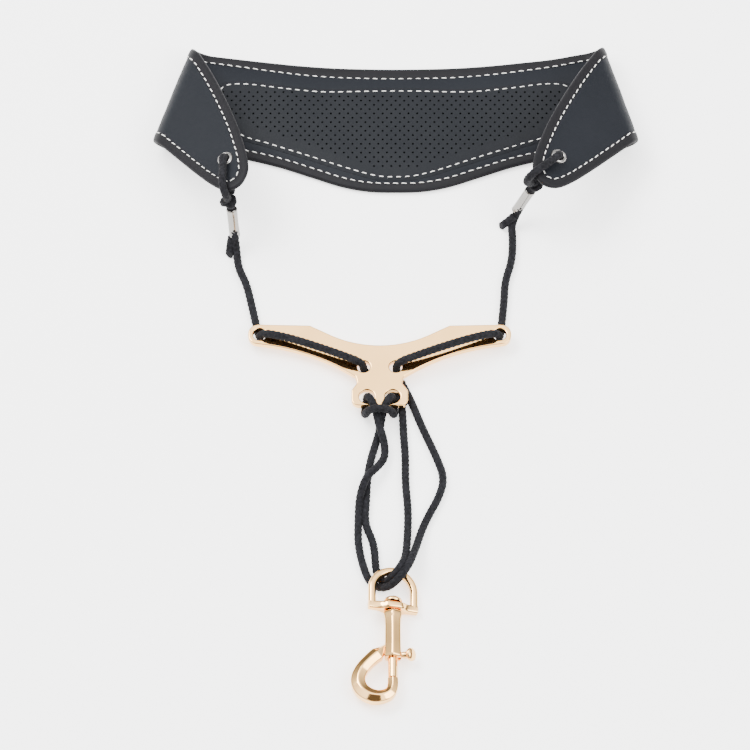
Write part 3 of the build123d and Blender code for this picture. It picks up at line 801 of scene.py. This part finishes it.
def slow_waves(points):
    """Faint unevenness of a padded surface, in millimetres."""
    x, y = points[:, 0], points[:, 1]
    return (0.06 * np.sin(x * 0.21 + 1.3 * np.sin(y * 0.12))
            + 0.05 * np.sin(y * 0.33 + 0.8 * np.sin(x * 0.09)))


def constant(height):
    return lambda points: np.full(len(points), height)


def make_pad():
    outline = pad_outline(0.6)
    edge = np.array(outline)
    panel = smooth_ring(PANEL_HALF[:-1] + [mirrored(point) for point in PANEL_HALF[:0:-1]], 0.8)
    panel_edge = np.array(panel)
    holes = []
    for side, half in HALVES.items():
        centre = half.flat_point(BEND_LENGTH + EYELET_U * half.stretch, EYELET_V)
        holes.append(circle(centre if side == "left" else mirrored(centre), EYELET_HOLE_R, 24))

    def puff(points):
        return 1 - np.exp(-np.maximum(distance_to(points, edge) - FIELD_INSET, 0) / PUFF_REACH)

    def lining_height(points):
        depth = np.clip(distance_to(points, panel_edge) - 1, 0, 1)
        under_panel = inside_ring(points, panel) * depth
        return (LINING_EDGE + LINING_PUFF * puff(points) + slow_waves(points)
                - PANEL_BED * under_panel)

    def cover_height(points):
        return COVER_FACE - COVER_PUFF * puff(points) + slow_waves(points)

    field = inset_ring(outline, FIELD_INSET)[::2]
    slab("collar_lining", [field] + holes, 1.5, constant(LINING_BASE), lining_height, "leather",
         "lining")
    slab("collar_cover", [field] + holes, 1.5, cover_height, constant(COVER_TOP), "leather",
         "outer_cover")
    foam_ring = inset_ring(outline, FOAM_INSET)[::3]
    foam_piece = slab("collar_foam", [foam_ring] + holes, 4.0, constant(FOAM_BASE),
                      constant(FOAM_TOP), "foam", "foam_core")
    make_binding(outline)
    panel_top = make_panel(panel, lining_height)
    stitch_row("binding_stitches", outline, STITCH_INSET,
               ((constant(STITCH_FACES[0]), 1), (constant(STITCH_FACES[1]), -1)),
               "binding_stitching", slant=0.12)
    stitch_row("panel_stitches", panel, PANEL_STITCH_INSET, ((panel_top, 1),),
               "panel_stitching")


BINDING_PROFILE = [(4.6, -0.9), (4.65, -0.45), (4.45, -0.12), (4.3, -0.05), (4.1, -0.12),
                   (3.8, -0.06), (3.2, -0.02), (2.4, -0.05), (1.6, -0.10), (0.9, -0.24),
                   (0.35, -0.55), (0.08, -0.95), (0.0, -1.4), (0.08, -1.85), (0.35, -2.25),
                   (0.9, -2.56), (1.6, -2.68), (2.4, -2.74), (3.2, -2.78), (3.8, -2.74),
                   (4.1, -2.66), (4.3, -2.74), (4.45, -2.68), (4.65, -2.4), (4.6, -1.95),
                   (2.2, -1.9), (2.2, -0.95)]


def make_binding(outline):
    """A folded strip of thin leather round the edge, sunk a little along its stitch line."""
    points, normals = np.array(outline), ring_normals(outline)
    vertices = []
    for index, (point, normal, width) in enumerate(zip(points, normals, edge_width(points))):
        wave = 0.05 * sin(index * 0.31) + 0.04 * sin(index * 0.117)
        for inset, height in BINDING_PROFILE:
            spot = point + normal * (inset * width + (wave if inset > 4 else 0))
            vertices.append(pad_place(tuple(spot), height) * MM)
    faces = ring_faces(len(points), len(BINDING_PROFILE), closed=True)
    finish_piece("collar_edge_binding", vertices, faces, "binding", "collar", ["edge_binding"],
                 smooth_angle=50)


def stitch_mesh(vertices, faces, start, end, up):
    """One stitch: a capsule of thread whose ends dive into the leather."""
    forward = (end - start).normalized()
    side = forward.cross(up).normalized()
    stations = [(0.0, 0.25, -0.30), (0.08, 0.75, -0.12), (0.22, 1.0, 0.06), (0.5, 1.05, 0.14),
                (0.78, 1.0, 0.06), (0.92, 0.75, -0.12), (1.0, 0.25, -0.30)]
    first, around = len(vertices), 8
    for along, size, lift in stations:
        centre = start.lerp(end, along) + up * lift
        for step in range(around):
            turn = tau * step / around
            vertices.append((centre + (side * cos(turn) * 1.1 + up * sin(turn) * 0.9)
                             * STITCH_R * size) * MM)
    faces += [tuple(first + corner for corner in face)
              for face in ring_faces(len(stations), around)]


def stitch_row(name, ring, inset, surfaces, node, slant=0.0):
    """Stitches all round a ring, on each surface: (heights of flat points, outward sign)."""
    line = [Vector((*point, 0)) for point in inset_ring(ring, inset)]
    line.append(line[0])
    count = round(line_length(line) / (STITCH_LONG + STITCH_GAP))
    spots = even_points(line, line_length(line) / (count * 20))
    per_stitch = (len(spots) - 1) / count
    vertices, faces = [], []
    for heights, outward in surfaces:
        for number in range(count):
            first = round(number * per_stitch)
            last = round(first + per_stitch * STITCH_LONG / (STITCH_LONG + STITCH_GAP))
            a, b = spots[first], spots[min(last, len(spots) - 1)]
            across = (b - a).normalized().cross(Vector((0, 0, 1))) * slant
            ends = [tuple((a - across).xy), tuple((b + across).xy)]
            height = heights(np.array(ends))
            start, end = (pad_place(spot, level) for spot, level in zip(ends, height))
            up = pad_place(ends[0], height[0] + outward) - start
            if up.length < 0.1:
                up = Vector((0, 0, -1))
            stitch_mesh(vertices, faces, start, end, up.normalized())
    return finish_piece(name, vertices, faces, "thread", "collar", [node], smooth_angle=60)


def make_panel(panel, lining_height):
    """The perforated lining: a thin sewn-on layer with rows of real holes."""
    edge = np.array(panel)
    candidates = []
    for row in range(HOLE_ROWS):
        for column in range(-HOLE_COLUMNS, HOLE_COLUMNS + 1):
            candidates.append(((column + 0.5 * (row % 2)) * COLUMN_PITCH,
                               TOP_ROW_Y - row * ROW_PITCH))
    candidates = np.array(candidates)
    inside = inside_ring(candidates, edge)
    depth = distance_to(candidates, edge)
    low_half = candidates[:, 1] < 140 - 0.1 * np.abs(candidates[:, 0])
    margin = np.where(low_half, LOWER_MARGIN + MARGIN_GROWTH * np.abs(candidates[:, 0]),
                      UPPER_MARGIN)
    holes = [circle(point, PERFORATION_R, 10) for point in candidates[inside & (depth > margin)]]

    def top(points):
        pillow = np.clip(distance_to(points, edge) / 1.2, 0, 1)
        near_stitch = np.exp(-((distance_to(points, edge) - PANEL_STITCH_INSET) / 0.5) ** 2)
        return (lining_height(points) + 0.12 + 0.35 * np.sqrt(pillow) - 0.15 * near_stitch
                + PANEL_BED * np.clip(distance_to(points, edge) - 1, 0, 1))

    def bottom(points):
        return lining_height(points) - 0.25

    slab("collar_perforated_panel", [panel] + holes, 1.6, bottom, top,
         "perforated_leather", "perforated_panel")
    return top


# ---- eyelets ----
class TabPlane:
    """A frame at the eyelet's centre: down the tab, towards its tip, and out of the cover."""

    def __init__(self, side):
        half = HALVES[side]
        flip = -1 if side == "right" else 1
        centre = half.flat_point(BEND_LENGTH + EYELET_U * half.stretch, EYELET_V)
        origin = half.place(centre, 0)
        outward = half.place(centre, -1) - origin
        self.origin = Vector((flip * origin.x, origin.y, origin.z))
        self.down = Vector((flip * half.along[0], half.along[1], 0))
        self.out = Vector((flip * outward.x, outward.y, outward.z)).normalized()
        self.across = self.out.cross(self.down)
        self.tipward = flip

    def at(self, down, towards_tip, height):
        return (self.origin + self.down * down + self.across * (self.tipward * towards_tip)
                + self.out * height)


PLANES = {side: TabPlane(side) for side in SIDES}
FLANGE = [(2.15, 3.30), (2.35, 3.62), (2.75, 3.78), (3.15, 3.66), (3.50, 3.36), (3.72, 2.95),
          (3.74, 2.62), (3.60, 2.50), (3.00, 2.55), (2.45, 2.40), (2.45, -1.0), (2.15, -1.0)]
WASHER = [(2.15, -1.2), (2.45, -1.2), (2.45, -2.2), (3.60, -2.2), (3.80, -2.45), (3.70, -2.85),
          (3.20, -3.05), (2.60, -3.12), (2.25, -2.95), (2.15, -2.6)]


def loop_route(side):
    plane = PLANES[side]
    corners = [plane.at(*corner) for corner in LOOPS[side]]
    knot = Vector(KNOTS[side])
    ends = [knot + (corner - knot).normalized() * (KNOT_R - 0.5)
            for corner in (corners[0], corners[-1])]
    return [ends[0], *corners, ends[1]]


def turned_ring(name, plane, profile, node):
    """A ring turned from a closed profile of (radius, height) corners."""
    around = 64
    vertices = [plane.at(*place, height) * MM for radius, height in profile
                for place in circle((0, 0), radius, around)]
    faces = ring_faces(len(profile), around, closed=True)
    return finish_piece(name, vertices, faces, "nickel", "collar", [node], smooth_angle=50,
                        paint="eyelet_nickel")


def make_eyelets():
    for side in SIDES:
        turned_ring(f"{side}_eyelet_flange", PLANES[side], FLANGE, f"{side}_eyelet")
        turned_ring(f"{side}_eyelet_washer", PLANES[side], WASHER, f"{side}_washer")


# ---- swivel bolt snap, in millimetres ----
SNAP_X, SNAP_Z = -1.3, 4.9
EYE_ROLL = 15.0
EYE_ARC_R, EYE_ARC_Y = 9.7, -110.9
EYE_BASE_Y, EYE_BASE_HALF = -119.65, 11.5
HOOK_ROUTE = [(-4.3, -139.2), (-6.6, -142.3), (-10.9, -146.1), (-15.4, -151.4), (-17.4, -157.4),
              (-15.2, -163.1), (-9.1, -166.3), (-3.0, -164.6), (-1.0, -160.6), (-1.3, -156.4)]
# Half width and half height of the forged hook at each corner of its route.
HOOK_SIZES = [(0.6, 1.6), (3.2, 2.8), (3.0, 2.9), (3.1, 2.9), (3.3, 3.0), (3.4, 3.0),
              (3.3, 3.0), (2.9, 2.8), (2.5, 2.5), (2.35, 2.35)]
# Outside of the barrel and its bore: place along Y and radius.
BARREL_OUTSIDE = [(-122.3, 3.2), (-122.35, 3.8), (-122.9, 4.15), (-124.1, 4.15), (-125.2, 3.85),
                  (-126.4, 3.62), (-130.0, 3.55), (-138.0, 3.60), (-144.4, 3.80),
                  (-145.4, 3.68), (-145.8, 3.3)]
BARREL_BORE = [(-145.8, 2.42), (-145.5, 2.33), (-126.6, 2.33)]
FACET_SHARPNESS = 22
RIVET = [(-125.4, 1.85), (-117.35, 1.85), (-117.3, 3.95), (-116.9, 4.2), (-116.2, 4.12),
         (-115.5, 3.70), (-114.9, 2.80), (-114.55, 1.60), (-114.45, 0.4)]
SLOT_END, SLOT_HALF = -132.9, 1.45
KNOB_CENTRE, KNOB_AXIS = Vector((6.9, -144.0, 5.5)), Vector((0.82, -0.15, 0.55)).normalized()
KNOB_STEM = [(0.4, 1.2), (3.4, 1.2), (4.3, 1.45), (6.0, 1.75), (7.6, 1.6)]
KNOB_DISC = [(-1.3, 1.3), (-1.15, 2.4), (-0.7, 2.95), (0.0, 3.1), (0.55, 2.95), (1.0, 2.4),
             (1.25, 1.5), (1.35, 0.4)]
SPRING_FOOT, SPRING_TOP, SPRING_R, SPRING_WIRE_R = -139.6, -126.5, 1.75, 0.3
SPRING_TURNS, SPRING_KEEP = 7, 0.31


def power(value, exponent):
    return abs(value) ** exponent * (1 if value >= 0 else -1)


def rounded_box(squareness):
    """A section between an ellipse and a box, as points round the unit circle."""
    return lambda turn: (power(cos(turn), 2 / squareness), power(sin(turn), 2 / squareness))


def six_sided(turn):
    """A hexagonal section with softened ridges, one of them on top."""
    facets = [max(0.0, cos(turn - number * pi / 3)) ** FACET_SHARPNESS for number in range(6)]
    norm = sum(facets) ** (1 / FACET_SHARPNESS)
    return cos(turn) / norm, sin(turn) / norm


def forged_bar(line, stops, section, around=72):
    """A bar along a line in the XY plane; stops are (fraction, half width, half height)."""
    fractions, wide, tall = zip(*stops)
    vertices = []
    for index, point in enumerate(line):
        before, after = line[max(index - 1, 0)], line[min(index + 1, len(line) - 1)]
        forward = (after - before).normalized()
        side = Vector((-forward.y, forward.x, 0))
        fraction = index / (len(line) - 1)
        half_wide = np.interp(fraction, fractions, wide)
        half_tall = np.interp(fraction, fractions, tall)
        for step in range(around):
            beside, above = section(tau * step / around)
            vertices.append(point + side * (half_wide * beside)
                            + Vector((0, 0, half_tall * above)))
    return vertices, ring_faces(len(line), around)


def turned_bar(profile, faceted=0, around=72):
    """A bar turned about the snap's axis; its first rings may be six-sided."""
    vertices = []
    for number, (y, radius) in enumerate(profile):
        for step in range(around):
            turn = tau * step / around
            beside, above = six_sided(turn) if number < faceted else (cos(turn), sin(turn))
            vertices.append(Vector((SNAP_X + radius * beside, y, SNAP_Z + radius * above)))
    return vertices, ring_faces(len(profile), around)


def turned_along(origin, axis, profile, around=48):
    """A bar turned about any axis from corners of (place along the axis, radius)."""
    side, up = sides_of(axis)
    vertices = [corner for along, radius in profile
                for corner in ring_round(origin + axis * along, side, up, radius, around)]
    return vertices, ring_faces(len(profile), around)


def joined(*shapes):
    vertices, faces = [], []
    for shape_vertices, shape_faces in shapes:
        first = len(vertices)
        vertices += shape_vertices
        faces += [tuple(first + corner for corner in face) for face in shape_faces]
    return vertices, faces


def gold_piece(name, shape, body, node, smooth_angle=40):
    """A piece of the snap from vertices in millimetres and faces."""
    return finish_piece(name, [vertex * MM for vertex in shape[0]], shape[1], "gold", body, [node],
                        smooth_angle)


def make_eye():
    base_line = [Vector((x, EYE_BASE_Y, 0)) for x in np.linspace(-EYE_BASE_HALF, EYE_BASE_HALF, 70)]
    stops = []
    for fraction in np.linspace(0, 1, 70):
        x = (2 * fraction - 1) * EYE_BASE_HALF
        boss = 1 / (1 + abs(x / 4.9) ** 6)
        end = min(1.0, 0.72 + (EYE_BASE_HALF - abs(x)) * 0.9)
        stops.append((fraction, (2.0 + 0.15 * boss) * end, (1.75 + 2.35 * boss) * end))
    base = forged_bar(base_line, stops, rounded_box(3.4))
    legs = [Vector((-EYE_ARC_R, y, 0)) for y in np.linspace(EYE_BASE_Y, EYE_ARC_Y, 12)]
    arc = [Vector((-EYE_ARC_R * cos(turn), EYE_ARC_Y + EYE_ARC_R * sin(turn), 0))
           for turn in np.linspace(0, pi, 49)[1:-1]]
    bow_line = legs + arc + [Vector((-point.x, point.y, 0)) for point in legs[::-1]]
    bow = forged_bar(bow_line, [(0, 1.85, 1.8), (0.2, 1.75, 1.75), (0.5, 1.85, 1.8),
                                (0.8, 1.75, 1.75), (1, 1.85, 1.8)], rounded_box(2.4))
    vertices, faces = joined(base, bow)
    roll = Matrix.Rotation(radians(EYE_ROLL), 3, "Y")
    centre = Vector((SNAP_X, 0, SNAP_Z))
    gold_piece("snap_swivel_eye", ([roll @ vertex + centre for vertex in vertices], faces), "eye",
               "swivel_eye", 50)


def cut_slot(piece):
    """Open the barrel's side for the thumb knob's stem."""
    size = (BARREL_OUTSIDE[0][1] + 2, SLOT_END - BARREL_BORE[0][0] + 1, 2 * SLOT_HALF)
    bpy.ops.mesh.primitive_cube_add(size=1, location=((SNAP_X + size[0] / 2) * MM,
                                                      (SLOT_END - size[1] / 2) * MM, SNAP_Z * MM))
    cutter = bpy.context.object
    cutter.scale = [length * MM for length in size]
    cut = piece.modifiers.new("slot", "BOOLEAN")
    cut.object, cut.operation, cut.solver = cutter, "DIFFERENCE", "EXACT"
    mesh = evaluated_mesh(piece)
    piece.modifiers.clear()
    piece.data = mesh
    bpy.data.objects.remove(cutter)


def make_snap():
    barrel = turned_bar(BARREL_OUTSIDE + BARREL_BORE, faceted=len(BARREL_OUTSIDE))
    cut_slot(gold_piece("snap_barrel", barrel, "snap", "snap_body"))
    line = [point / MM for point in spline_points("hook", metres(
        [(x, y, SNAP_Z) for x, y in HOOK_ROUTE]))]
    last = len(HOOK_SIZES) - 1
    stops = [(number / last, *size) for number, size in enumerate(HOOK_SIZES)]
    gold_piece("snap_hook", forged_bar(line, stops, six_sided), "snap", "snap_body", 50)
    gold_piece("snap_rivet", turned_bar(RIVET), "snap", "swivel_rivet")


def make_knob():
    stem = turned_along(Vector((SNAP_X, KNOB_CENTRE.y, SNAP_Z)), Vector((1, 0, 0)), KNOB_STEM)
    disc = turned_along(KNOB_CENTRE, KNOB_AXIS, KNOB_DISC)
    gold_piece("snap_knob", joined(stem, disc), "bolt", "thumb_knob")


def make_spring():
    """A coil of spring wire along the snap's axis, from SPRING_FOOT to SPRING_TOP."""
    line = []
    for step in range(SPRING_TURNS * 32 + 1):
        turn = tau * step / 32
        along = step / (SPRING_TURNS * 32)
        line.append(Vector((SNAP_X + SPRING_R * cos(turn),
                            SPRING_FOOT + (SPRING_TOP - SPRING_FOOT) * along,
                            SNAP_Z + SPRING_R * sin(turn))))
    around = 10
    vertices = [corner * MM for place in frames_along(line)
                for corner in ring_round(*place, SPRING_WIRE_R, around)]
    spring = finish_piece("snap_spring", vertices, ring_faces(len(line), around),
                          "spring_steel", "snap", ["bolt_spring"])
    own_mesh(spring)


# ---- metal parts kept from the CAD model ----
def paint_node(name, slot):
    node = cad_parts[name]
    node.data.materials.clear()
    node.data.materials.append(PAINTS[slot])


def make_metal():
    paint_node("spreader_plate", "gold")
    paint_node("snap_bolt", "gold")


make_camera()
make_world()
make_studio()
make_cords()
make_pad()
make_eyelets()
make_eye()
make_snap()
make_knob()
make_spring()
make_metal()
